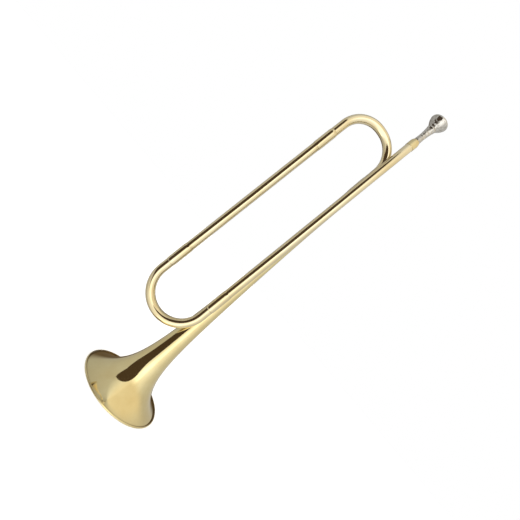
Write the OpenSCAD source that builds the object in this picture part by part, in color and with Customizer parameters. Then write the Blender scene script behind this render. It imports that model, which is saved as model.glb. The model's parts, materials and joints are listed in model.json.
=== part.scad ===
// Natural bugle, coiled once: a rolled-rim bell on a long tapered stem, a narrow loop of
// round tube and a removable mouthpiece. Millimetres, +Z along the bell's axis.
// The origin is the centre of the bell's mouth, and the bugle stands on its rim.

/* [Bell] */
// Outside diameter of the bell over its rolled rim
bell_d = 123; // [100:1:150]
// Thickness of the bell's sheet
bell_sheet = 0.5; // [0.4:0.05:0.7]
// Diameter of the wire inside the rolled rim
rim_wire_d = 1.2; // [1:0.1:2.4]
// Width of the flat that the rim stands on
rim_land = 0.8; // [0.4:0.1:1]
// How fast the flare closes: its reach along the axis
flare_reach = 71.5; // [60:0.5:90]
// How fast the flare closes: its power
flare_power = 3.27; // [2.8:0.01:4]
// How much the stem's straight taper adds to the radius at the mouth
taper_rise = 8.6; // [6:0.1:11]
// Length of the straight tube at the stem's small end
stem_straight = 91; // [50:1:140]
// Height of the brazed seam between the flare and the stem
seam_z = 96; // [80:1:120]

/* [Tubing] */
// Outside diameter of the loop's tube
tube_od = 12.5; // [11:0.1:14]
// Wall of the loop's tube
tube_wall = 0.5; // [0.4:0.05:0.8]
// Length of each ferrule
ferrule_len = 32; // [20:1:40]
// Wall of each ferrule
ferrule_wall = 0.42; // [0.3:0.02:0.8]
// Gap that the solder fills between a tube and its ferrule
solder_gap = 0.04; // [0.02:0.01:0.1]
// Gap that the solder fills where two tubes cross
crossing_gap = 0.05; // [0.02:0.01:0.3]

/* [Loop] */
// Centreline radius of the lower bow, the U next to the bell
lower_bow_r = 40.2; // [34:0.2:48]
// Height of the lower bow's ends
lower_bow_z = 144; // [130:1:160]
// Straight leg on each end of the lower bow
lower_leg = 29; // [24:1:40]
// Height of the upper bow's crown over the stem, to the middle of its tube
crown_z = 493.6; // [440:0.2:590]
// Straight stretch of the crown between the upper bow's two corners
crown_len = 3.4; // [1:0.1:12]
// How far below the crown the stem ends and the upper bow begins
stem_drop = 72.6; // [66:0.2:90]
// Straight leg on the loop tube's end of the upper bow
upper_leg = 34; // [24:1:40]
// How far round the bell's stem the mouthpipe sits at the lower crossing, in degrees
lower_crossing_turn = 20; // [10:1:30]
// How far round the bell's stem the mouthpipe sits at the upper crossing, in degrees
upper_crossing_turn = 1; // [0:1:10]
// How far the loop is turned back about the mouthpipe, in degrees
loop_turn = 5; // [0:1:10]

/* [Mouthpipe and receiver] */
// How far the mouthpipe runs past the crown's height
mouthpipe_past = 16.3; // [5:0.1:40]
// Length of the receiver's collar
collar_len = 13.5; // [12:0.5:24]
// Wall of the receiver's collar over the mouthpipe
collar_wall = 0.36; // [0.3:0.02:1]
// How far the collar laps over the mouthpipe
collar_lap = 4.5; // [3:0.5:8]
// How deep the shank sits in the receiver
shank_depth = 21; // [18:1:30]
// Wall of the receiver's spigot at its thin end
spigot_wall = 0.9; // [0.7:0.05:1.2]

/* [Mouthpiece] */
// Length of the mouthpiece
mouthpiece_len = 66; // [62:1:75]
// Outside diameter of the mouthpiece's rim
rim_d = 26.4; // [24:0.1:28]
// Diameter of the cup at the rim
cup_d = 16.5; // [15:0.1:18]
// Depth of the cup
cup_depth = 10.5; // [9:0.5:12]
// Diameter of the throat
throat_d = 3.8; // [3.4:0.1:4.6]
// Diameter of the shank where it enters the receiver
shank_d = 9.9; // [9:0.1:10.4]
// Taper of the shank, diameter lost per millimetre
shank_taper = 0.05; // [0.04:0.005:0.06]
// Running clearance between the shank and the receiver, on the radius
shank_fit = 0.03; // [0.02:0.01:0.06]
// Wall of the shank at its end
shank_wall = 0.7; // [0.5:0.05:1]

/* [Solder] */
// Length of the solder joint at the lower crossing
lower_solder_len = 12; // [8:1:16]
// Length of the solder joint at the upper crossing
upper_solder_len = 12; // [8:1:14]
// Width of the solder joints
solder_width = 5; // [3:0.5:7]

/* [Hidden] */
$fn = 96;
brass = "#c9a548";
wire_steel = "#8e8f92";
nickel = "#cfccc4";
solder_tin = "#b5b1a6";
cut = 1;                                    // how far a cutter runs past the face it cuts
tube_r = tube_od / 2;
tube_bore_r = tube_r - tube_wall;
ferrule_bore_r = tube_r + solder_gap;
ferrule_r = ferrule_bore_r + ferrule_wall;
bend_swell = 0.03;                          // how much a bend's wall swells, inside and out
bend_lap = 0.05;                            // how far a straight leg runs into a bend's wall

// ---- the bell's outline: outer radius at a height above the rolled rim
stem_end = crown_z - stem_drop;
taper_top = stem_end - stem_straight;
wire_r = rim_wire_d / 2;
wire_gap = 0.03;
curl_bore = wire_r + wire_gap;              // inside radius of the curl round the wire
curl_r = curl_bore + bell_sheet;            // outside radius of the curl
land_cut = curl_r - sqrt(curl_r * curl_r - rim_land * rim_land / 4);
taper_bend = 1.25;                          // a little more than 1 lets the taper die away softly
flare_end = pow(1 + taper_top / flare_reach, -flare_power);
function flare_share(h) = (pow(1 + h / flare_reach, -flare_power) - flare_end) / (1 - flare_end);
function horn_r(h, edge) = h >= taper_top ? tube_r
    : tube_r + taper_rise * pow(1 - h / taper_top, taper_bend)
      + (edge - tube_r - taper_rise) * flare_share(h);
function horn_slope(h, edge) = (horn_r(h + 0.01, edge) - horn_r(h, edge)) / 0.01;
function unit(v) = v / norm(v);
function horn_normal(h, edge) = unit([1, -horn_slope(h, edge)]);
edge_guess = bell_d / 2 - curl_r;
edge_r = edge_guess - curl_bore * horn_normal(0, edge_guess)[0];
edge_normal = horn_normal(0, edge_r);
edge_z = curl_r - land_cut - curl_bore * edge_normal[1];
curl_centre = [edge_r, edge_z] + curl_bore * edge_normal;
function bell_r(z) = horn_r(z - edge_z, edge_r);
function bell_outer(z) = [bell_r(z), z];
function bell_inner(z) = bell_outer(z) - bell_sheet * horn_normal(z - edge_z, edge_r);

flare_steps = 40;
stem_steps = 24;
curl_step = 12;                             // degrees between two points of the curl
flare_heights = [for (i = [0 : flare_steps]) edge_z + (seam_z - edge_z) * pow(i / flare_steps, 1.7)];
stem_heights = [for (i = [0 : stem_steps]) seam_z + (taper_top + edge_z - seam_z) * i / stem_steps];

// ---- the loop's centrelines
lower_reach = bell_r(lower_bow_z) + ferrule_r + crossing_gap;
upper_reach = tube_r + ferrule_r + crossing_gap;
function beside_stem(reach, turn, z) = [-reach * sin(turn), -reach * cos(turn), z];
foot = beside_stem(lower_reach, lower_crossing_turn, lower_bow_z);
shoulder = beside_stem(upper_reach, upper_crossing_turn, crown_z - lower_bow_r);
lean = unit(shoulder - foot);               // direction of the mouthpipe and the loop tube
chord_guess = [-cos(loop_turn), sin(loop_turn), 0];
across = unit(chord_guess - (chord_guess * lean) * lean);
loop_w = 2 * lower_bow_r;
loop_foot = foot + loop_w * across;
stem_corner = [0, 0, crown_z];
loop_corner_s = (crown_z - loop_foot[2]) / lean[2];
loop_corner = loop_foot + loop_corner_s * lean;
crown_dir = unit(loop_corner - stem_corner);
crown_angle = acos(-crown_dir * lean);      // how far the second corner turns
// the two corners share one radius, and the second takes a tangent of its own length
upper_bow_r = (norm(loop_corner - stem_corner) - crown_len) / (1 + tan(crown_angle / 2));
crown_tangent = upper_bow_r * tan(crown_angle / 2);
crown_side = cross([0, 0, 1], crown_dir);
down_normal = unit(-lean + (crown_dir * lean) * crown_dir);
crown_twist = atan2(down_normal * crown_side, -down_normal[2]);
loop_top = loop_corner_s - crown_tangent;   // where the loop tube's line meets the upper bow

// ---- heights along the mouthpipe, from its foot
mouthpipe_reach = (crown_z - lower_bow_z) / lean[2] + mouthpipe_past;
collar_base = mouthpipe_reach - collar_lap;
collar_top = collar_base + collar_len;
shank_end = collar_top - shank_depth;
shank_r = shank_d / 2;
taper_r = shank_taper / 2;                  // radius lost per millimetre
mouthpiece_top = shank_end + mouthpiece_len;
spigot_end = shank_end - 2;

// puts children in a frame given by its origin and its three axes
module place(o, x, y, z)
    multmatrix([[x[0], y[0], z[0], o[0]], [x[1], y[1], z[1], o[1]], [x[2], y[2], z[2], o[2]]])
        children();
// the loop's frame: +Z up the mouthpipe, +X across to the loop tube
module in_loop() place(foot, across, cross(lean, across), lean) children();

// a straight round tube along Z
module pipe(h, r_out, r_in)
    difference() {
        cylinder(h = h, r = r_out);
        translate([0, 0, -cut]) cylinder(h = h + 2 * cut, r = r_in);
    }

// a bend of tube in the XZ plane about its own centre, from one angle on by a turn
module bend(bend_r, from, turn)
    rotate([90, 0, 0]) rotate([0, 0, from]) rotate_extrude(angle = turn)
        translate([bend_r, 0]) difference() {
            circle(r = tube_r + bend_swell);
            circle(r = tube_bore_r - bend_swell);
        }

// ---- bell
function curl_point(radius, a) = let (p = curl_centre + radius * [cos(a), sin(a)]) [p[0], max(p[1], 0)];
module bell_flare() {
    front_angle = atan2(-edge_normal[1], -edge_normal[0]);
    closing = 360 - acos(curl_bore / curl_r) - 6;
    curl_count = floor(closing / curl_step);
    angles = [for (i = [0 : curl_count]) front_angle + closing * i / curl_count];
    last = len(angles) - 1;
    top = len(flare_heights) - 1;
    color(brass) rotate_extrude() polygon(concat(
        [for (i = [top : -1 : 0]) bell_outer(flare_heights[i])],
        [for (i = [1 : last]) curl_point(curl_bore, angles[i])],
        [for (i = [last : -1 : 1]) curl_point(curl_r, angles[i])],
        [for (i = [0 : top - 1]) bell_inner(flare_heights[i])],
        [[bell_inner(seam_z)[0], seam_z]]));
}

module bell_rim_wire()
    color(wire_steel) rotate_extrude() translate(curl_centre) circle(r = wire_r);

module bell_stem() {
    top = len(stem_heights) - 1;
    color(brass) rotate_extrude() polygon(concat(
        [for (i = [0 : top]) bell_outer(stem_heights[i])],
        [[tube_r, stem_end], [tube_bore_r, stem_end]],
        [for (i = [top : -1 : 1]) [bell_r(stem_heights[i]) - bell_sheet, stem_heights[i]]],
        [[bell_inner(seam_z)[0], seam_z]]));
}

// ---- ferrules, centred on the butt joint that they cover
module ferrule() {
    edge = ferrule_wall / 2;
    color(brass) difference() {
        union() {
            translate([0, 0, edge - ferrule_len / 2]) cylinder(h = ferrule_len - 2 * edge, r = ferrule_r);
            translate([0, 0, -ferrule_len / 2]) cylinder(h = edge, r1 = ferrule_r - edge, r2 = ferrule_r);
            translate([0, 0, ferrule_len / 2 - edge]) cylinder(h = edge, r1 = ferrule_r, r2 = ferrule_r - edge);
        }
        translate([0, 0, -ferrule_len / 2 - cut]) cylinder(h = ferrule_len + 2 * cut, r = ferrule_bore_r);
    }
}
module stem_ferrule() translate([0, 0, stem_end]) ferrule();
module upper_loop_ferrule() in_loop() translate([loop_w, 0, loop_top - upper_leg]) ferrule();
module lower_loop_ferrule() in_loop() translate([loop_w, 0, lower_leg]) ferrule();
module mouthpipe_ferrule() in_loop() translate([0, 0, lower_leg]) ferrule();

// ---- upper bow: two quarter bends with a short straight crown between them.
// The straight pipes run a little way into the wall of the bends they meet.
module upper_bow()
    color(brass) place(stem_corner, crown_dir, crown_side, [0, 0, 1]) {
        translate([0, 0, -stem_drop]) pipe(stem_drop - upper_bow_r + bend_lap, tube_r, tube_bore_r);
        translate([upper_bow_r, 0, -upper_bow_r]) bend(upper_bow_r, 90, 90);
        translate([upper_bow_r - bend_lap, 0, 0]) rotate([0, 90, 0])
            pipe(crown_len + 2 * bend_lap, tube_r, tube_bore_r);
        translate([upper_bow_r + crown_len, 0, 0]) rotate([crown_twist, 0, 0])
            translate([0, 0, -upper_bow_r]) {
                bend(upper_bow_r, 90 - crown_angle, crown_angle);
                rotate([0, crown_angle, 0]) translate([-bend_lap, 0, upper_bow_r])
                    rotate([0, 90, 0]) pipe(upper_leg + bend_lap, tube_r, tube_bore_r);
            }
    }

// ---- lower bow: one half turn with two straight legs
module lower_bow()
    color(brass) in_loop() translate([lower_bow_r, 0, 0]) {
        bend(lower_bow_r, 180, 180);
        for (side = [-1, 1]) translate([side * lower_bow_r, 0, -bend_lap])
            pipe(lower_leg + bend_lap, tube_r, tube_bore_r);
    }

module loop_tube()
    color(brass) in_loop() translate([loop_w, 0, lower_leg])
        pipe(loop_top - upper_leg - lower_leg, tube_r, tube_bore_r);

module mouthpipe()
    color(brass) in_loop() translate([0, 0, lower_leg])
        pipe(mouthpipe_reach - lower_leg, tube_r, tube_bore_r);

// ---- receiver: a collar over the mouthpipe's end and a tapered spigot inside it
module mouthpiece_receiver() {
    nose = 4.5;                             // length of the collar's tapered nose
    lead = 0.3;                             // chamfer at the collar's open end
    mouth_r = shank_r + shank_fit;
    nose_r = mouth_r + 0.6;
    collar_r = max(ferrule_bore_r + collar_wall, nose_r + 0.6);
    spigot_r = tube_bore_r - solder_gap;
    color(brass) in_loop() difference() {
        rotate_extrude() polygon([
            [0, spigot_end], [spigot_r, spigot_end], [spigot_r, mouthpipe_reach + solder_gap],
            [ferrule_bore_r, mouthpipe_reach + solder_gap], [ferrule_bore_r, collar_base],
            [collar_r - lead, collar_base], [collar_r, collar_base + lead],
            [collar_r, collar_top - nose],
            [collar_r - 0.2, collar_top - nose * 0.7], [nose_r + 0.35, collar_top - nose * 0.25],
            [nose_r, collar_top], [0, collar_top]]);
        translate([0, 0, shank_end])
            cylinder(h = shank_depth, r1 = mouth_r - taper_r * shank_depth, r2 = mouth_r);
        translate([0, 0, collar_top - 0.01]) cylinder(h = cut, r = mouth_r);
        translate([0, 0, spigot_end - cut]) cylinder(h = shank_end - spigot_end + 2 * cut,
            r = min(spigot_r - spigot_wall, mouth_r - taper_r * shank_depth));
    }
}

// ---- mouthpiece: rim, cup, throat, backbore and shank turned in one piece.
// The outline runs down from the rim, each point [distance below the rim, radius].
module mouthpiece() {
    rim_r = rim_d / 2;
    cup_r = cup_d / 2;
    rim_w = rim_r - cup_r;
    throat_r = throat_d / 2;
    shank_end_r = shank_r - taper_r * shank_depth;
    shank_mouth = mouthpiece_len - shank_depth;
    throat_top = cup_depth + 0.6;
    neck_top = 20;                          // distance from the rim to the neck under its bead
    neck_len = shank_mouth - neck_top;
    outside = [[0, cup_r + 0.42 * rim_w], [0.25, rim_r - 0.34 * rim_w], [0.9, rim_r - 0.12 * rim_w],
               [1.9, rim_r - 0.05], [3.2, rim_r], [5, rim_r - 0.6], [7, rim_r - 1.4],
               [9.5, rim_r - 2.8], [12, rim_r - 4.5], [14.4, rim_r - 6.1],
               [neck_top - 4, shank_r + 1.35], [neck_top - 2.8, shank_r + 1.5],
               [neck_top - 1.4, shank_r + 1.35], [neck_top, shank_r + 0.9],
               [neck_top + 0.14 * neck_len, shank_r + 0.55], [neck_top + 0.3 * neck_len, shank_r + 0.1],
               [neck_top + 0.61 * neck_len, shank_r - 0.25], [shank_mouth, shank_r],
               [mouthpiece_len - 0.4, shank_end_r + taper_r * 0.4], [mouthpiece_len, shank_end_r - 0.3]];
    cup = [for (a = [0 : 9 : 81]) [cup_depth * sin(a), throat_r + (cup_r - throat_r) * cos(a)]];
    inside = concat([[0.12, cup_r + 0.24 * rim_w], [0.5, cup_r + 0.1 * rim_w]],
                    [for (p = cup) [p[0] + 1.1, p[1]]],
                    [[throat_top + 1.2, throat_r], [throat_top + 6, throat_r],
                     [mouthpiece_len, shank_end_r - shank_wall]]);
    backwards = [for (i = [len(inside) - 1 : -1 : 0]) inside[i]];
    color(nickel) in_loop() rotate_extrude() polygon([
        for (p = concat(outside, backwards)) [p[1], mouthpiece_top - p[0]]]);
}

// ---- solder where the mouthpipe crosses the bell's stem, between its two touching tubes
module solder(point, reach, length) {
    out = unit([point[0], point[1], 0]);
    color(solder_tin) difference() {
        place([0, 0, point[2]], out, cross([0, 0, 1], out), [0, 0, 1])
            translate([reach - tube_r - solder_width / 2, -solder_width / 2, 0])
                cube([solder_width, solder_width, length]);
        children();
        in_loop() translate([0, 0, -cut]) cylinder(h = collar_base, r = tube_r);
        in_loop() translate([0, 0, lower_leg - ferrule_len / 2]) cylinder(h = ferrule_len, r = ferrule_r);
    }
}
module lower_crossing_solder()
    solder(foot, lower_reach, lower_solder_len)
        rotate_extrude() polygon(concat([for (z = stem_heights) bell_outer(z)],
            [[0, taper_top], [0, seam_z]]));
module upper_crossing_solder()
    solder(beside_stem(upper_reach, upper_crossing_turn, stem_end + ferrule_len / 2 - 2 - upper_solder_len),
           upper_reach, upper_solder_len)
        cylinder(h = crown_z, r = ferrule_r);

bell_flare();
bell_rim_wire();
bell_stem();
stem_ferrule();
upper_bow();
upper_loop_ferrule();
loop_tube();
lower_loop_ferrule();
lower_bow();
mouthpipe_ferrule();
mouthpipe();
mouthpiece_receiver();
mouthpiece();
lower_crossing_solder();
upper_crossing_solder();
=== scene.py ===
"""A natural bugle in polished brass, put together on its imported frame, standing on its bell."""

import json
import math

import bpy
from mathutils import Matrix, Vector


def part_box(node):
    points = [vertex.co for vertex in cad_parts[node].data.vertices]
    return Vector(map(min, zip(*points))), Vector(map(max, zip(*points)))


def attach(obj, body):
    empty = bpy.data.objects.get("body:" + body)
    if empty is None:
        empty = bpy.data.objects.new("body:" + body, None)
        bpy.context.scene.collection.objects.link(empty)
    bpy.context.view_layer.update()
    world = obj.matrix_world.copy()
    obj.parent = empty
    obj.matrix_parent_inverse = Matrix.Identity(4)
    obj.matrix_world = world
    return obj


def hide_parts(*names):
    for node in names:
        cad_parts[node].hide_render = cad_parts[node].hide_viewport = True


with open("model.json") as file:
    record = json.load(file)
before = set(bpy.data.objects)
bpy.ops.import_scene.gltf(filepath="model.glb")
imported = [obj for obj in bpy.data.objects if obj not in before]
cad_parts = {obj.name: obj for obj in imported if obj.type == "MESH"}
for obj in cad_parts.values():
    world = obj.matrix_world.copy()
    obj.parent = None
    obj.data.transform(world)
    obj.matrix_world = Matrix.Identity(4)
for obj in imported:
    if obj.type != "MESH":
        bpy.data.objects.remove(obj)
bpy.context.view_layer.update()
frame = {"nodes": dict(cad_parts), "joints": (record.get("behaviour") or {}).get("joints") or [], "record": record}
mm = 0.001

# ---- Camera ----------------------------------------------------------------------------
# A close wide view from the mouthpipe's side, turned so that the bugle lies corner to
# corner with its bell at the lower left.

camera_place = Vector((-57.0, -452.8, 227.4)) * mm
looks_along = Vector((0.1000, 0.9937, 0.0504)).normalized()
picture_right = Vector((0.6360, -0.1045, 0.7646))
picture_right = (picture_right - picture_right.project(looks_along)).normalized()
picture_up = picture_right.cross(looks_along)
bpy.ops.object.camera_add(location=camera_place)
camera = bpy.context.object
camera.matrix_world = Matrix((
    (picture_right.x, picture_up.x, -looks_along.x, camera_place.x),
    (picture_right.y, picture_up.y, -looks_along.y, camera_place.y),
    (picture_right.z, picture_up.z, -looks_along.z, camera_place.z),
    (0, 0, 0, 1)))
camera.data.sensor_width = 36
camera.data.lens = 23.08
camera.data.clip_start = 0.01
bpy.context.scene.camera = camera

# ---- Studio ----------------------------------------------------------------------------
# A white sweep with soft light all round. Polished metal shows only what stands round it,
# so the surroundings are a ring of soft panels, brightest in front, under a warm ceiling,
# with one long dark cloth hung on the loop's side and a darker doorway behind.


def linear(hex_colour):
    """An sRGB hex colour as the linear red, green and blue that a shader takes."""
    parts = [int(hex_colour[i:i + 2], 16) / 255 for i in (1, 3, 5)]
    return [p / 12.92 if p <= 0.04045 else ((p + 0.055) / 1.055) ** 2.4 for p in parts] + [1.0]


def node(tree, kind, values=None, links=None, **settings):
    """Adds a node to a tree, with its settings, its unlinked values and its links."""
    made = tree.nodes.new(kind)
    for name, value in settings.items():
        setattr(made, name, value)
    for socket, value in (values or {}).items():
        made.inputs[socket].default_value = value
    for socket, source in (links or {}).items():
        tree.links.new(source, made.inputs[socket])
    return made


def ramp_stops(ramp, stops):
    """Gives a colour ramp its stops, as pairs of place and colour."""
    colours = ramp.color_ramp.elements
    while len(colours) > 1:
        colours.remove(colours[-1])
    colours[0].position, colours[0].color = stops[0]
    for place, colour in stops[1:]:
        colours.new(place).color = colour


def grey(level):
    """A panel's brightness as a colour."""
    return (level, level, level, 1.0)


# the ring of panels: degrees from the front towards the loop's side, and brightness
panels = [(-180, 0.36), (-150, 0.48), (-100, 0.55), (-72, 0.66), (-48, 0.86), (-30, 1.0),
          (-18, 1.45), (-2, 1.4), (10, 0.94), (30, 0.78), (66, 0.50), (110, 0.46),
          (150, 0.38), (180, 0.34)]
panel_gain = 1.25
warm_ceiling = (0.78, 0.72, 0.62, 1.0)
doorway_colour = (0.11, 0.08, 0.05, 1.0)

# each pair is where an edge is first seen and where it is full, in degrees
ceiling_edge, ceiling_left, ceiling_right = (16, 38), (-150, -90), (55, -15)
doorway_side, doorway_top = (148, 162), (42, 30)

world = bpy.data.worlds.new("soft_studio")
bpy.context.scene.world = world
world.use_nodes = True
sky = world.node_tree
sky.nodes.clear()


def sum_of(operation, first, second):
    """An arithmetic step on two sockets or numbers, in the sky's tree."""
    terms = list(enumerate((first, second)))
    return node(sky, "ShaderNodeMath", {k: v for k, v in terms if isinstance(v, (int, float))},
                {k: v for k, v in terms if not isinstance(v, (int, float))},
                operation=operation).outputs[0]


def soft_step(value, start, end):
    """Goes softly from 0 to 1 while a socket's value goes from start to end."""
    return node(sky, "ShaderNodeMapRange", {1: start, 2: end}, {0: value},
                interpolation_type="SMOOTHSTEP").outputs[0]


axes = node(sky, "ShaderNodeSeparateXYZ",
            links={0: node(sky, "ShaderNodeTexCoord").outputs["Generated"]}).outputs
bearing = sum_of("DEGREES", sum_of("ARCTAN2", sum_of("MULTIPLY", axes["X"], -1),
                                   sum_of("MULTIPLY", axes["Y"], -1)), 0)
height = sum_of("DEGREES", sum_of("ARCSINE", axes["Z"], 0), 0)
ring = node(sky, "ShaderNodeValToRGB",
            links={0: sum_of("ADD", sum_of("MULTIPLY", bearing, 1 / 360), 0.5)})
ramp_stops(ring, [((panel_deg + 180) / 360, grey(level)) for panel_deg, level in panels])
skylight = sum_of("MULTIPLY", soft_step(height, *ceiling_edge),
                  sum_of("MULTIPLY", soft_step(bearing, *ceiling_left),
                         soft_step(bearing, *ceiling_right)))
with_skylight = node(sky, "ShaderNodeMix", {7: warm_ceiling},
                     {0: skylight, 6: ring.outputs[0]}, data_type="RGBA")
doorway = sum_of("MULTIPLY", soft_step(sum_of("ABSOLUTE", bearing, 0), *doorway_side),
                 soft_step(sum_of("ABSOLUTE", height, 0), *doorway_top))
with_doorway = node(sky, "ShaderNodeMix", {7: doorway_colour},
                    {0: doorway, 6: with_skylight.outputs[2]}, data_type="RGBA")
panel_light = node(sky, "ShaderNodeBackground", {1: panel_gain}, {0: with_doorway.outputs[2]})
white_sweep = node(sky, "ShaderNodeBackground", {0: (1, 1, 1, 1), 1: 1.0})
ray = node(sky, "ShaderNodeLightPath")
backdrop = node(sky, "ShaderNodeMixShader",
                links={0: ray.outputs["Is Camera Ray"], 1: panel_light.outputs[0],
                       2: white_sweep.outputs[0]})
node(sky, "ShaderNodeOutputWorld", links={0: backdrop.outputs[0]})

bpy.ops.mesh.primitive_plane_add(size=40, location=(0, 0, 0))
floor = bpy.context.object
floor.name = "floor"
paper = bpy.data.materials.new("matt_white_paper")
paper.use_nodes = True
paper_shader = paper.node_tree.nodes["Principled BSDF"]
paper_shader.inputs["Base Color"].default_value = linear("#F6F5F3")
paper_shader.inputs["Roughness"].default_value = 0.9
paper_shader.inputs["Specular IOR Level"].default_value = 0.1
floor.data.materials.append(paper)
floor.visible_glossy = False

# the dark cloth hangs well away from the bell's axis and turns its face to the bugle. Its
# foot is pulled aside towards the loop's side, and it is gathered to a round top there
cloth_distance = 1.14
cloth_bearing = math.radians(36)
cloth_half = cloth_distance * math.tan(math.radians(33))
cloth_foot = -0.25
foot_front, foot_back = 0.44 * cloth_half, -1.6 * cloth_half
pulled_to = 0.1
hangs_straight_from = 0.5
cloth_shoulder = 0.62
cloth_top = 1.26
apex = -0.75 * cloth_half
round_top = 0.35
cloth_steps = 12
quarters = [math.pi / 2 * i / cloth_steps for i in range(1, cloth_steps + 1)]
cloth_outline = [(foot_back, cloth_foot), (foot_front, cloth_foot), (foot_front, pulled_to),
                 (cloth_half, hangs_straight_from), (cloth_half, cloth_shoulder)]
cloth_outline += [(apex + (cloth_half - apex) * math.cos(q),
                   cloth_shoulder + (cloth_top - cloth_shoulder) * math.sin(q)) for q in quarters]
cloth_outline += [(apex - (cloth_half + apex) * math.sin(q),
                   cloth_top - round_top * (1 - math.cos(q))) for q in quarters]
cloth_outline += [(-cloth_half, hangs_straight_from), (foot_back, pulled_to)]
cloth_mesh = bpy.data.meshes.new("dark_cloth")
cloth_mesh.from_pydata([(x, 0, z) for x, z in cloth_outline], [], [range(len(cloth_outline))])
cloth = bpy.data.objects.new("dark_cloth", cloth_mesh)
bpy.context.collection.objects.link(cloth)
cloth.location = (-cloth_distance * math.sin(cloth_bearing),
                  -cloth_distance * math.cos(cloth_bearing), 0)
cloth.rotation_euler = (0, 0, -cloth_bearing)
felt_glow = (0.060, 0.040, 0.026, 1.0)
brown_felt = bpy.data.materials.new("brown_felt")
brown_felt.use_nodes = True
felt = brown_felt.node_tree
felt.nodes.clear()
felt_light = node(felt, "ShaderNodeEmission", {0: felt_glow, 1: panel_gain})
node(felt, "ShaderNodeOutputMaterial", links={0: felt_light.outputs[0]})
cloth.data.materials.append(brown_felt)
for kind in ("camera", "diffuse", "shadow", "transmission", "volume_scatter"):
    setattr(cloth, "visible_" + kind, False)

# a broad even light from above keeps the sweep white all the way out
bpy.ops.object.light_add(type="SUN", location=(0, 0, 2))
overhead = bpy.context.object
overhead.name = "overhead_light"
overhead.data.energy = 2.0
overhead.data.angle = math.radians(100)
overhead.visible_glossy = False

bpy.context.scene.view_settings.view_transform = "Standard"
bpy.context.scene.view_settings.look = "None"

# ---- Bell ------------------------------------------------------------------------------
# The flare is sheet brass spun on a mandrel, with its edge rolled outwards round a wire.
# It is brazed to a long tapered stem and the seam is polished flush.

rim_diameter = 123 * mm
sheet = 0.5 * mm
rim_wire_diameter = 1.2 * mm
wire_clearance = 0.03 * mm
rim_land = 0.8 * mm
flare_reach = 71.5 * mm
flare_power = 3.27
taper_rise = 8.6 * mm
taper_bend = 1.25
stem_straight = 91 * mm
tube_diameter = 12.5 * mm
tube_wall = 0.5 * mm
tube_radius = tube_diameter / 2

seam_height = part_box("bell_stem")[0].z
stem_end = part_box("bell_stem")[1].z
taper_top = stem_end - stem_straight


def middle(name):
    """The middle of a CAD node's box."""
    low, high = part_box(name)
    return (low + high) / 2


def horn_radius(height, edge):
    """The bell's outer radius at a height above its rolled edge."""
    if height >= taper_top:
        return tube_radius
    share_at_top = (1 + taper_top / flare_reach) ** -flare_power
    share = ((1 + height / flare_reach) ** -flare_power - share_at_top) / (1 - share_at_top)
    rise = taper_rise * (1 - height / taper_top) ** taper_bend
    return tube_radius + rise + (edge - tube_radius - taper_rise) * share


def horn_normal(height, edge):
    """The direction straight out of the bell's wall, as radius and height."""
    step = 0.01 * mm
    slope = (horn_radius(height + step, edge) - horn_radius(height, edge)) / step
    return Vector((1, -slope)).normalized()


curl_bore = rim_wire_diameter / 2 + wire_clearance
curl_radius = curl_bore + sheet
land_cut = curl_radius - math.sqrt(curl_radius ** 2 - rim_land ** 2 / 4)
edge_guess = rim_diameter / 2 - curl_radius
edge_radius = edge_guess - curl_bore * horn_normal(0, edge_guess).x
edge_normal = horn_normal(0, edge_radius)
edge_height = curl_radius - land_cut - curl_bore * edge_normal.y
curl_centre = Vector((edge_radius, edge_height)) + curl_bore * edge_normal


def wall_point(height, depth=0.0):
    """A point of the bell's outline, as radius and height, at a depth below its outer face."""
    above_edge = height - edge_height
    return (Vector((horn_radius(above_edge, edge_radius), height))
            - depth * horn_normal(above_edge, edge_radius))


def new_piece(name):
    """Makes the object just added the piece of that name, with its place in its mesh."""
    piece = bpy.context.object
    piece.name = name
    piece.data.name = name
    bpy.ops.object.transform_apply(location=True, rotation=True, scale=True)
    return piece


def turned(name, outline, sides):
    """A ring turned on a lathe about Z: a closed outline of (radius, height), spun round."""
    bpy.ops.object.select_all(action="DESELECT")
    bpy.ops.mesh.primitive_plane_add(size=1 * mm, location=(outline[0][0], 0, outline[0][1]))
    piece = new_piece(name)
    bpy.ops.object.mode_set(mode="EDIT")
    bpy.ops.mesh.select_all(action="SELECT")
    bpy.ops.mesh.merge(type="CENTER")
    for before, after in zip(outline, outline[1:] + outline[:1]):
        move = (after[0] - before[0], 0, after[1] - before[1])
        bpy.ops.mesh.extrude_region_move(TRANSFORM_OT_translate={"value": move})
    bpy.ops.mesh.select_all(action="SELECT")
    bpy.ops.mesh.remove_doubles(threshold=1e-7)
    bpy.ops.mesh.select_all(action="SELECT")
    bpy.ops.mesh.spin(steps=sides, angle=2 * math.pi, center=(0, 0, 0), axis=(0, 0, 1))
    bpy.ops.mesh.select_all(action="SELECT")
    bpy.ops.mesh.remove_doubles(threshold=2e-6)
    bpy.ops.mesh.normals_make_consistent(inside=False)
    bpy.ops.object.mode_set(mode="OBJECT")
    return piece


def pick(piece):
    """Selects one piece and nothing else."""
    bpy.ops.object.select_all(action="DESELECT")
    piece.select_set(True)
    bpy.context.view_layer.objects.active = piece


def smooth_shaded(piece, sharp_from=32):
    """Shades a piece smooth, apart from edges that turn by more than an angle in degrees."""
    pick(piece)
    bpy.ops.object.shade_smooth_by_angle(angle=math.radians(sharp_from))


# the flare's rings crowd towards its edge, where it curves most
flare_rings = 64
crowding = 1.7
flare_heights = [edge_height + (seam_height - edge_height) * (i / flare_rings) ** crowding
                 for i in range(flare_rings + 1)]
curl_gap = math.radians(6)
curl_start = math.atan2(-edge_normal.y, -edge_normal.x)
curl_sweep = 2 * math.pi - math.acos(curl_bore / curl_radius) - curl_gap
curl_rings = 34


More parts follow.
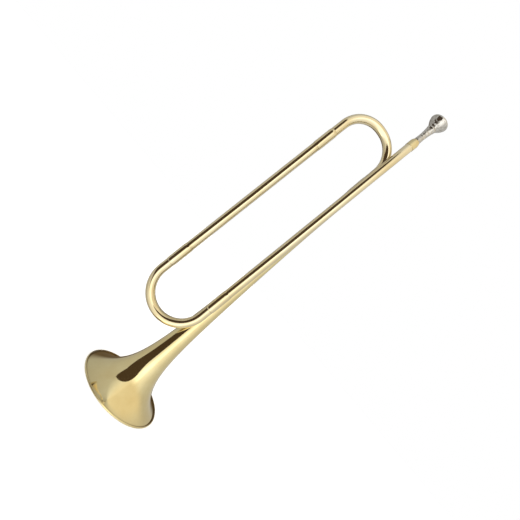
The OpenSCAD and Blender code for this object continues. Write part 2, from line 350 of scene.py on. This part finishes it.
def curl_point(radius, ring_number):
    """A point of the rolled edge, which is flat where the bell stands on it."""
    angle = curl_start + curl_sweep * ring_number / curl_rings
    place = curl_centre + radius * Vector((math.cos(angle), math.sin(angle)))
    return (place.x, max(place.y, 0))


flare_outline = [tuple(wall_point(h)) for h in reversed(flare_heights)]
flare_outline += [curl_point(curl_bore, i) for i in range(1, curl_rings + 1)]
flare_outline += [curl_point(curl_radius, i) for i in range(curl_rings, 0, -1)]
flare_outline += [tuple(wall_point(h, sheet)) for h in flare_heights]
bell_sides, stem_sides = 144, 96
flare = turned("spun_bell_flare", flare_outline, bell_sides)
smooth_shaded(flare)

stem_rings = 60
stem_heights = [seam_height + (stem_end - seam_height) * i / stem_rings
                for i in range(stem_rings + 1)]
stem_outline = [tuple(wall_point(h)) for h in stem_heights]
stem_outline += [tuple(wall_point(h, sheet)) for h in reversed(stem_heights)]
stem = turned("tapered_bell_stem", stem_outline, stem_sides)
smooth_shaded(stem)

# ---- Brass -----------------------------------------------------------------------------
# Cartridge brass, buffed to a mirror and clear lacquered. The eye sees a pale warm mirror
# with fine buffing lines, small hazed patches and faint toning; the browner joints are painted shade.


def metal(name):
    """Starts a bare metal: its material, tree and shader, and the place on the piece."""
    made = bpy.data.materials.new(name)
    made.use_nodes = True
    tree = made.node_tree
    shader = tree.nodes["Principled BSDF"]
    shader.inputs["Metallic"].default_value = 1.0
    return made, tree, shader, node(tree, "ShaderNodeTexCoord").outputs["Object"]


def brass(name, pale, deep, line_across, line_along, spun=False):
    """Lacquered brass whose buffing lines are so wide and so long, in metres."""
    finish, tree, shader, place = metal(name)
    if spun:
        # lines that run round the bell follow the distance along its wall
        axes = node(tree, "ShaderNodeSeparateXYZ", links={0: place})
        flat = node(tree, "ShaderNodeCombineXYZ", links={0: axes.outputs[0], 1: axes.outputs[1]})
        out = node(tree, "ShaderNodeVectorMath", links={0: flat.outputs[0]}, operation="LENGTH")
        along = node(tree, "ShaderNodeMath", links={0: axes.outputs[2], 1: out.outputs["Value"]},
                     operation="SUBTRACT")
        lines_at = node(tree, "ShaderNodeCombineXYZ", links={2: along.outputs[0]}).outputs[0]
    else:
        lines_at = place
    line_scale = (1 / line_across, 1 / line_across, 1 / line_along)
    stretch = node(tree, "ShaderNodeMapping", {"Scale": line_scale}, {0: lines_at})
    lines = node(tree, "ShaderNodeTexNoise", {"Scale": 1.0, "Detail": 3.0, "Roughness": 0.6},
                 {0: stretch.outputs[0]})
    toning = node(tree, "ShaderNodeTexNoise", {"Scale": 1 / (38 * mm), "Detail": 4.0,
                                               "Roughness": 0.55}, {0: place})
    haze = node(tree, "ShaderNodeTexNoise", {"Scale": 1 / (9 * mm), "Detail": 5.0,
                                             "Roughness": 0.6}, {0: place})
    specks = node(tree, "ShaderNodeTexVoronoi", {"Scale": 1 / (5.5 * mm), "Randomness": 1.0},
                  {0: place})
    tone = node(tree, "ShaderNodeMapRange", {1: 0.35, 2: 0.68}, {0: toning.outputs[0]})
    colour = node(tree, "ShaderNodeMix", {6: linear(pale), 7: linear(deep)},
                  {0: tone.outputs[0]}, data_type="RGBA")
    speck = node(tree, "ShaderNodeMapRange", {1: 0.0, 2: 0.07, 3: 0.35, 4: 0.0},
                 {0: specks.outputs["Distance"]})
    speckled = node(tree, "ShaderNodeMix", {7: linear("#8A6A3A")},
                    {0: speck.outputs[0], 6: colour.outputs[2]}, data_type="RGBA")
    # painted shade: the marks near the joints and in the crease behind the rolled edge darken the colour towards
    # brown
    joint = node(tree, "ShaderNodeAttribute", attribute_name="painted_shade_mark")
    painted_shade_share = node(tree, "ShaderNodeMath", {1: 0.35}, {0: joint.outputs["Fac"]},
                       operation="MULTIPLY")
    darkened = node(tree, "ShaderNodeMix", {7: linear("#6E5228")},
                    {0: painted_shade_share.outputs[0], 6: speckled.outputs[2]}, data_type="RGBA")
    tree.links.new(darkened.outputs[2], shader.inputs["Base Color"])
    gloss = node(tree, "ShaderNodeMapRange", {1: 0.3, 2: 0.72, 3: 0.03, 4: 0.08},
                 {0: haze.outputs[0]})
    line_gloss = node(tree, "ShaderNodeMath", {1: 0.03}, {0: lines.outputs[0]},
                      operation="MULTIPLY")
    rough = node(tree, "ShaderNodeMath", links={0: gloss.outputs[0], 1: line_gloss.outputs[0]},
                 operation="ADD")
    tree.links.new(rough.outputs[0], shader.inputs["Roughness"])
    relief = node(tree, "ShaderNodeBump", {"Strength": 0.35, "Distance": 0.0015 * mm},
                  {"Height": lines.outputs[0]})
    tree.links.new(relief.outputs[0], shader.inputs["Normal"])
    shader.inputs["Coat Weight"].default_value = 0.25
    shader.inputs["Coat Roughness"].default_value = 0.06
    return finish


# buffing lines are about 0.05 mm wide, drawn here at 0.25 mm so that they show
buffed_tube_brass = brass("buffed_lacquered_tube_brass", "#EADCB6", "#E0CE9F",
                          0.25 * mm, 30 * mm)
spun_bell_brass = brass("spun_lacquered_bell_brass", "#EADAA4", "#E1CC92",
                        0.25 * mm, 0.3 * mm, spun=True)


def finished(piece, material, body, replaced):
    """Gives a piece its material and its body, and the CAD nodes it stands for."""
    piece.data.materials.clear()
    piece.data.materials.append(material)
    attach(piece, body)
    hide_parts(*replaced)


def paint_shade_at_joints(piece, joints, width=0.7 * mm):
    """Paints shade on a piece near its joints, each a point and a direction, as a darker browner band at the seam.
    """
    marks = piece.data.attributes.new("painted_shade_mark", "FLOAT", "POINT")
    for vertex, mark in zip(piece.data.vertices, marks.data):
        nearest = min(abs((vertex.co - point).dot(along)) for point, along in joints)
        mark.value = math.exp(-(nearest / width) ** 2)


upright = Vector((0, 0, 1))
ferrule_length = 32 * mm

# painted shade in the crease behind the rolled edge: a darker ring, strongest on the far side away from the
# camera, where it also stands in for a dark reflection
crease_shade_radius = curl_centre.x - 0.9 * mm
crease_shade_width = 1.3 * mm
crease = flare.data.attributes.new("painted_shade_mark", "FLOAT", "POINT")
for vertex, mark in zip(flare.data.vertices, crease.data):
    across_crease = (vertex.co.xy.length - crease_shade_radius) / crease_shade_width
    far_side_shade_share = min(max((vertex.co.y / curl_centre.x + 0.25) / 0.5, 0), 1)
    if vertex.co.z > 0.8 * curl_centre.y:
        mark.value = (0.6 + 2.1 * far_side_shade_share) * math.exp(-across_crease ** 2)
# painted shade where the stem meets its ferrule
paint_shade_at_joints(stem, [(upright * (stem_end - ferrule_length / 2), upright)])
finished(flare, spun_bell_brass, "bugle", ["bell_flare"])
finished(stem, spun_bell_brass, "bugle", ["bell_stem"])

# ---- Rim wire --------------------------------------------------------------------------
# A drawn steel wire lies inside the rolled edge and stiffens it. Almost none of it shows,
# so it keeps its CAD mesh and has a plain grey drawn finish.

drawn_steel, steel_tree, steel_shader, steel_place = metal("drawn_steel_wire")
steel_grain = node(steel_tree, "ShaderNodeTexNoise", {"Scale": 1 / (0.4 * mm), "Detail": 3.0},
                   {0: steel_place})
steel_colour = node(steel_tree, "ShaderNodeMix", {6: linear("#8E8F92"), 7: linear("#76716A")},
                    {0: steel_grain.outputs[0]}, data_type="RGBA")
steel_tree.links.new(steel_colour.outputs[2], steel_shader.inputs["Base Color"])
steel_shader.inputs["Roughness"].default_value = 0.35
rim_wire = frame["nodes"]["bell_rim_wire"]
rim_wire.data.materials.clear()
rim_wire.data.materials.append(drawn_steel)

# ---- Bows and straight tubes -----------------------------------------------------------
# Drawn brass tube, bent round a former while full of pitch and then buffed. The straight
# runs and the bows butt together inside ferrules.

lean = Vector(frame["joints"][0]["axis"]).normalized()
pipe_middle = middle("mouthpipe")
loop_middle = middle("loop_tube")
across = loop_middle - pipe_middle
across = (across - across.project(lean))
loop_width = across.length
across = across.normalized()
lower_leg = 29 * mm
upper_leg = 34 * mm
pipe_joint = middle("mouthpipe_ferrule")
loop_joint = middle("lower_loop_ferrule")
upper_joint = middle("upper_loop_ferrule")
tube_sides = 64
bend_steps = 56


def tube_ring(name, centre, direction):
    """Starts a tube: a ring at a place, square to a direction, left open in edit mode."""
    bpy.ops.object.select_all(action="DESELECT")
    turn = direction.to_track_quat("Z", "Y").to_euler()
    bpy.ops.mesh.primitive_circle_add(vertices=tube_sides, radius=tube_radius, location=centre,
                                      rotation=turn)
    piece = new_piece(name)
    bpy.ops.object.mode_set(mode="EDIT")
    bpy.ops.mesh.select_all(action="SELECT")
    return piece


def draw_out(way, steps):
    """Draws the open ring out along a straight way, in steps."""
    for _ in range(steps):
        bpy.ops.mesh.extrude_region_move(TRANSFORM_OT_translate={"value": way / steps})


def bend_round(centre, axis, angle):
    """Bends the open ring on round a centre, towards the right-hand turn about the axis."""
    bpy.ops.mesh.spin(steps=bend_steps, angle=-angle, center=centre, axis=axis)


def close_tube(piece):
    """Merges a tube's rings, points its faces outwards and gives it its wall."""
    bpy.ops.mesh.select_all(action="SELECT")
    bpy.ops.mesh.remove_doubles(threshold=2e-6)
    bpy.ops.mesh.normals_make_consistent(inside=False)
    bpy.ops.object.mode_set(mode="OBJECT")
    wall = piece.modifiers.new("wall", "SOLIDIFY")
    wall.thickness = tube_wall
    wall.offset = -1
    bpy.ops.object.modifier_apply(modifier="wall")
    smooth_shaded(piece)


lower_bow = tube_ring("lower_bow_tube", pipe_joint, -lean)
draw_out(-lean * lower_leg, 20)
bow_foot = pipe_joint - lean * lower_leg
bend_round(bow_foot + across * loop_width / 2, across.cross(lean), math.pi)
draw_out(lean * lower_leg, 20)
close_tube(lower_bow)

bend_swell = 0.03 * mm
crown_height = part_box("upper_bow")[1].z - tube_radius - bend_swell
crown_straight = 3.4 * mm
stem_corner = upright * crown_height
loop_corner = loop_middle + lean * ((crown_height - loop_middle.z) / lean.z)
crown = (loop_corner - stem_corner).normalized()
second_turn = crown.angle(-lean)
crown_span = (loop_corner - stem_corner).length - crown_straight
corner_radius = crown_span / (1 + math.tan(second_turn / 2))
upper_bow = tube_ring("upper_bow_tube", upright * stem_end, upright)
draw_out(upright * (crown_height - corner_radius - stem_end), 20)
bend_round(stem_corner + (crown - upright) * corner_radius, upright.cross(crown), math.pi / 2)
draw_out(crown * crown_straight, 4)
downwards = (-lean - (-lean).project(crown)).normalized()
second_start = stem_corner + crown * (corner_radius + crown_straight)
bend_round(second_start + downwards * corner_radius, crown.cross(downwards), second_turn)
draw_out(-lean * upper_leg, 20)
close_tube(upper_bow)

loop_run = tube_ring("loop_tube_run", loop_joint, lean)
draw_out(upper_joint - loop_joint, 60)
close_tube(loop_run)

pipe_length = 2 * (pipe_middle - pipe_joint).length
mouthpipe = tube_ring("mouthpipe_run", pipe_joint, lean)
draw_out(lean * pipe_length, 72)
close_tube(mouthpipe)

half_ferrule = ferrule_length / 2
stem_joint = upright * stem_end
# painted shade where the tubes meet their ferrules
paint_shade_at_joints(lower_bow, [(pipe_joint - lean * half_ferrule, lean)])
paint_shade_at_joints(upper_bow, [(stem_joint + upright * half_ferrule, upright),
                        (upper_joint + lean * half_ferrule, lean)])
paint_shade_at_joints(loop_run, [(loop_joint + lean * half_ferrule, lean),
                       (upper_joint - lean * half_ferrule, lean)])
paint_shade_at_joints(mouthpipe, [(pipe_joint + lean * half_ferrule, lean)])
finished(lower_bow, buffed_tube_brass, "bugle", ["lower_bow"])
finished(upper_bow, buffed_tube_brass, "bugle", ["upper_bow"])
finished(loop_run, buffed_tube_brass, "bugle", ["loop_tube"])
finished(mouthpipe, buffed_tube_brass, "bugle", ["mouthpipe"])

# ---- Ferrules --------------------------------------------------------------------------
# A short sleeve of thin brass tube covers each butt joint. It is soft soldered, and its
# ends are filed to a small slope.

solder_gap = 0.04 * mm
ferrule_wall = 0.42 * mm
ferrule_bore = tube_radius + solder_gap
ferrule_outside = ferrule_bore + ferrule_wall
end_slope = 4 * mm
end_edge = 0.08 * mm
slope_steps = 9


def laid_along(piece, place, direction):
    """Moves a piece made about the origin's Z axis to a place, along a direction."""
    turn = direction.to_track_quat("Z", "Y").to_matrix().to_4x4()
    piece.matrix_world = Matrix.Translation(place) @ turn
    pick(piece)
    bpy.ops.object.transform_apply(location=True, rotation=True, scale=True)


def ferrule(name, place, direction, replaced):
    """One ferrule, centred on its joint."""
    sleeve = ferrule_length / 2 - end_slope
    slope = [(ferrule_bore + end_edge + (ferrule_outside - ferrule_bore - end_edge)
              * math.sin(math.pi / 2 * i / slope_steps), half_ferrule - end_slope * i / slope_steps)
             for i in range(slope_steps + 1)]
    middle_run = [(ferrule_outside, sleeve * (1 - i / 6)) for i in range(1, 12)]
    outline = ([(ferrule_bore, half_ferrule)] + slope + middle_run
               + [(radius, -height) for radius, height in reversed(slope)]
               + [(ferrule_bore, -half_ferrule)])
    piece = turned(name, outline, tube_sides)
    smooth_shaded(piece, 50)
    laid_along(piece, place, direction)
    # painted shade at the ferrule's two ends
    paint_shade_at_joints(piece, [(place + direction * half_ferrule, direction),
                        (place - direction * half_ferrule, direction)], 0.5 * mm)
    finished(piece, buffed_tube_brass, "bugle", [replaced])


ferrule("stem_ferrule_sleeve", stem_joint, upright, "stem_ferrule")
ferrule("upper_loop_ferrule_sleeve", upper_joint, lean, "upper_loop_ferrule")
ferrule("lower_loop_ferrule_sleeve", loop_joint, lean, "lower_loop_ferrule")
ferrule("mouthpipe_ferrule_sleeve", pipe_joint, lean, "mouthpipe_ferrule")

# ---- Receiver --------------------------------------------------------------------------
# A collar turned from brass bar, soldered over the mouthpipe's end, with a bore that the
# mouthpiece's shank pushes into.

mouthpiece_rim = Vector(frame["record"]["mounts"][2]["pos_m"])
mouthpiece_length = 66 * mm
shank_depth = 21 * mm
shank_radius = 4.95 * mm
shank_fit = 0.03 * mm
collar_length = 13.5 * mm
collar_wall = 0.36 * mm
collar_lap = 4.5 * mm
collar_edge = 0.3 * mm
collar_rings = 12
collar_radius = ferrule_bore + collar_wall
collar_top = mouthpiece_rim - lean * (mouthpiece_length - shank_depth)
receiver_bore = shank_radius + shank_fit
nose_length = 4.5 * mm
nose_wall = 0.6 * mm
nose_break = 0.15 * mm
nose_radius = receiver_bore + nose_wall
collar_outline = [(receiver_bore, 0), (nose_radius - nose_break, 0), (nose_radius, -nose_break),
                  (nose_radius + 0.35 * mm, -nose_length * 0.25),
                  (collar_radius - 0.42 * mm, -nose_length * 0.5),
                  (collar_radius - 0.2 * mm, -nose_length * 0.7), (collar_radius, -nose_length)]
collar_run = collar_length - nose_length - collar_edge
collar_outline += [(collar_radius, -nose_length - collar_run * i / collar_rings)
                   for i in range(1, collar_rings + 1)]
collar_outline += [(collar_radius - collar_edge, -collar_length), (ferrule_bore, -collar_length),
                   (ferrule_bore, -collar_length + collar_lap - 0.1 * mm),
                   (receiver_bore - nose_wall / 2, -collar_length + collar_lap)]
receiver = turned("receiver_collar", collar_outline, tube_sides)
smooth_shaded(receiver, 40)
laid_along(receiver, collar_top, lean)
# painted shade at both ends of the collar
paint_shade_at_joints(receiver, [(collar_top, lean), (collar_top - lean * collar_length, lean)], 0.5 * mm)
turned_brass = brass("turned_lacquered_receiver_brass", "#E3D2A0", "#D6C08A", 0.25 * mm, 6 * mm)
finished(receiver, turned_brass, "bugle", ["mouthpiece_receiver"])

# ---- Mouthpiece ------------------------------------------------------------------------
# Turned from brass in one piece and nickel plated: a rounded rim, a cup, a small bead
# below it and a slim shank. The eye sees a bright grey mirror with fine turning rings.


def curve_through(points, steps=5):
    """A smooth curve through the points of an outline, with so many steps between two."""
    run = []
    ends = [points[0]] + points + [points[-1]]
    for a, b, c, d in zip(ends, ends[1:], ends[2:], ends[3:]):
        for step in range(steps):
            t = step / steps
            run.append(tuple(
                0.5 * (2 * b[k] + (c[k] - a[k]) * t
                       + (2 * a[k] - 5 * b[k] + 4 * c[k] - d[k]) * t * t
                       + (3 * b[k] - a[k] - 3 * c[k] + d[k]) * t ** 3) for k in (0, 1)))
    return run + [points[-1]]


rim_radius = 13.2 * mm
cup_radius = 8.25 * mm
rim_width = rim_radius - cup_radius
cup_depth = 10.5 * mm
throat_radius = 1.9 * mm
shank_end_radius = shank_radius - 0.025 * shank_depth
shank_mouth = mouthpiece_length - shank_depth
neck_top = 20 * mm
neck_length = shank_mouth - neck_top
# the cup's outside, as radius and millimetres below the rim
cup_wall = [(rim_radius, 3.2), (rim_radius - 0.6 * mm, 5), (rim_radius - 1.4 * mm, 7),
            (rim_radius - 2.8 * mm, 9.5), (rim_radius - 4.5 * mm, 12),
            (rim_radius - 6.1 * mm, 14.4),
            (shank_radius + 1.35 * mm, 16), (shank_radius + 1.5 * mm, 17.2),
            (shank_radius + 1.35 * mm, 18.6), (shank_radius + 0.9 * mm, 20)]
outside_curve = curve_through(
    [(cup_radius + 0.42 * rim_width, 0), (rim_radius - 0.34 * rim_width, -0.25 * mm),
     (rim_radius - 0.12 * rim_width, -0.9 * mm), (rim_radius - 0.05 * mm, -1.9 * mm)]
    + [(radius, -depth * mm) for radius, depth in cup_wall]
    + [(shank_radius + 0.55 * mm, -neck_top - 0.14 * neck_length),
       (shank_radius + 0.1 * mm, -neck_top - 0.3 * neck_length),
       (shank_radius - 0.25 * mm, -neck_top - 0.61 * neck_length),
       (shank_radius, -shank_mouth)])
inside_curve = curve_through(
    [(throat_radius, -cup_depth - 1.8 * mm)]
    + [(throat_radius + (cup_radius - throat_radius) * math.cos(math.radians(a)),
        -cup_depth * math.sin(math.radians(a)) - 1.1 * mm) for a in range(81, -1, -9)]
    + [(cup_radius + 0.1 * rim_width, -0.5 * mm), (cup_radius + 0.24 * rim_width, -0.12 * mm)], 3)
backbore = [(shank_end_radius - 0.7 * mm, -mouthpiece_length),
            (throat_radius, -cup_depth - 6.6 * mm)]
mouthpiece_outline = (outside_curve
                      + [(shank_end_radius + 0.01 * mm, -mouthpiece_length + 0.4 * mm),
                         (shank_end_radius - 0.3 * mm, -mouthpiece_length)]
                      + backbore + inside_curve)
mouthpiece = turned("turned_mouthpiece", mouthpiece_outline, 96)
smooth_shaded(mouthpiece)
laid_along(mouthpiece, mouthpiece_rim, lean)

nickel, nickel_tree, nickel_shader, nickel_place = metal("bright_nickel_plate")
turning_rings = node(nickel_tree, "ShaderNodeMapping",
                     {"Scale": (1 / (8 * mm), 1 / (8 * mm), 1 / (0.12 * mm))}, {0: nickel_place})
rings = node(nickel_tree, "ShaderNodeTexNoise", {"Scale": 1.0, "Detail": 2.0},
             {0: turning_rings.outputs[0]})
dulling = node(nickel_tree, "ShaderNodeTexNoise", {"Scale": 1 / (4 * mm), "Detail": 5.0,
                                                   "Roughness": 0.65}, {0: nickel_place})
nickel_tone = node(nickel_tree, "ShaderNodeMapRange", {1: 0.4, 2: 0.7}, {0: dulling.outputs[0]})
nickel_colour = node(nickel_tree, "ShaderNodeMix", {6: linear("#D3CFC6"), 7: linear("#A9A396")},
                     {0: nickel_tone.outputs[0]}, data_type="RGBA")
nickel_tree.links.new(nickel_colour.outputs[2], nickel_shader.inputs["Base Color"])
nickel_gloss = node(nickel_tree, "ShaderNodeMapRange", {1: 0.3, 2: 0.7, 3: 0.16, 4: 0.28},
                    {0: dulling.outputs[0]})
nickel_tree.links.new(nickel_gloss.outputs[0], nickel_shader.inputs["Roughness"])
# the plate lies over slightly uneven brass, which breaks its reflections up
unevenness = node(nickel_tree, "ShaderNodeTexNoise", {"Scale": 1 / (5 * mm), "Detail": 1.0},
                  {0: nickel_place})
plate_waves = node(nickel_tree, "ShaderNodeBump", {"Strength": 1.0, "Distance": 1.1 * mm},
                   {"Height": unevenness.outputs[0]})
nickel_relief = node(nickel_tree, "ShaderNodeBump", {"Strength": 0.4, "Distance": 0.003 * mm},
                     {"Height": rings.outputs[0], "Normal": plate_waves.outputs[0]})
nickel_tree.links.new(nickel_relief.outputs[0], nickel_shader.inputs["Normal"])
finished(mouthpiece, nickel, "mouthpiece", ["mouthpiece"])

# ---- Solder ----------------------------------------------------------------------------
# Soft solder fills the gap where the mouthpipe crosses the stem, above and below. It was
# scraped clean, so it is a duller, cooler grey than the brass.

soft_solder, solder_tree, solder_shader, solder_place = metal("scraped_soft_solder")
scrapes = node(solder_tree, "ShaderNodeTexNoise", {"Scale": 1 / (0.8 * mm), "Detail": 4.0},
               {0: solder_place})
solder_colour = node(solder_tree, "ShaderNodeMix", {6: linear("#BDB6A2"), 7: linear("#8F8672")},
                     {0: scrapes.outputs[0]}, data_type="RGBA")
solder_tree.links.new(solder_colour.outputs[2], solder_shader.inputs["Base Color"])
solder_relief = node(solder_tree, "ShaderNodeBump", {"Strength": 0.6, "Distance": 0.02 * mm},
                     {"Height": scrapes.outputs[0]})
solder_tree.links.new(solder_relief.outputs[0], solder_shader.inputs["Normal"])
solder_shader.inputs["Roughness"].default_value = 0.38
for name in ("lower_crossing_solder", "upper_crossing_solder"):
    frame["nodes"][name].data.materials.clear()
    frame["nodes"][name].data.materials.append(soft_solder)
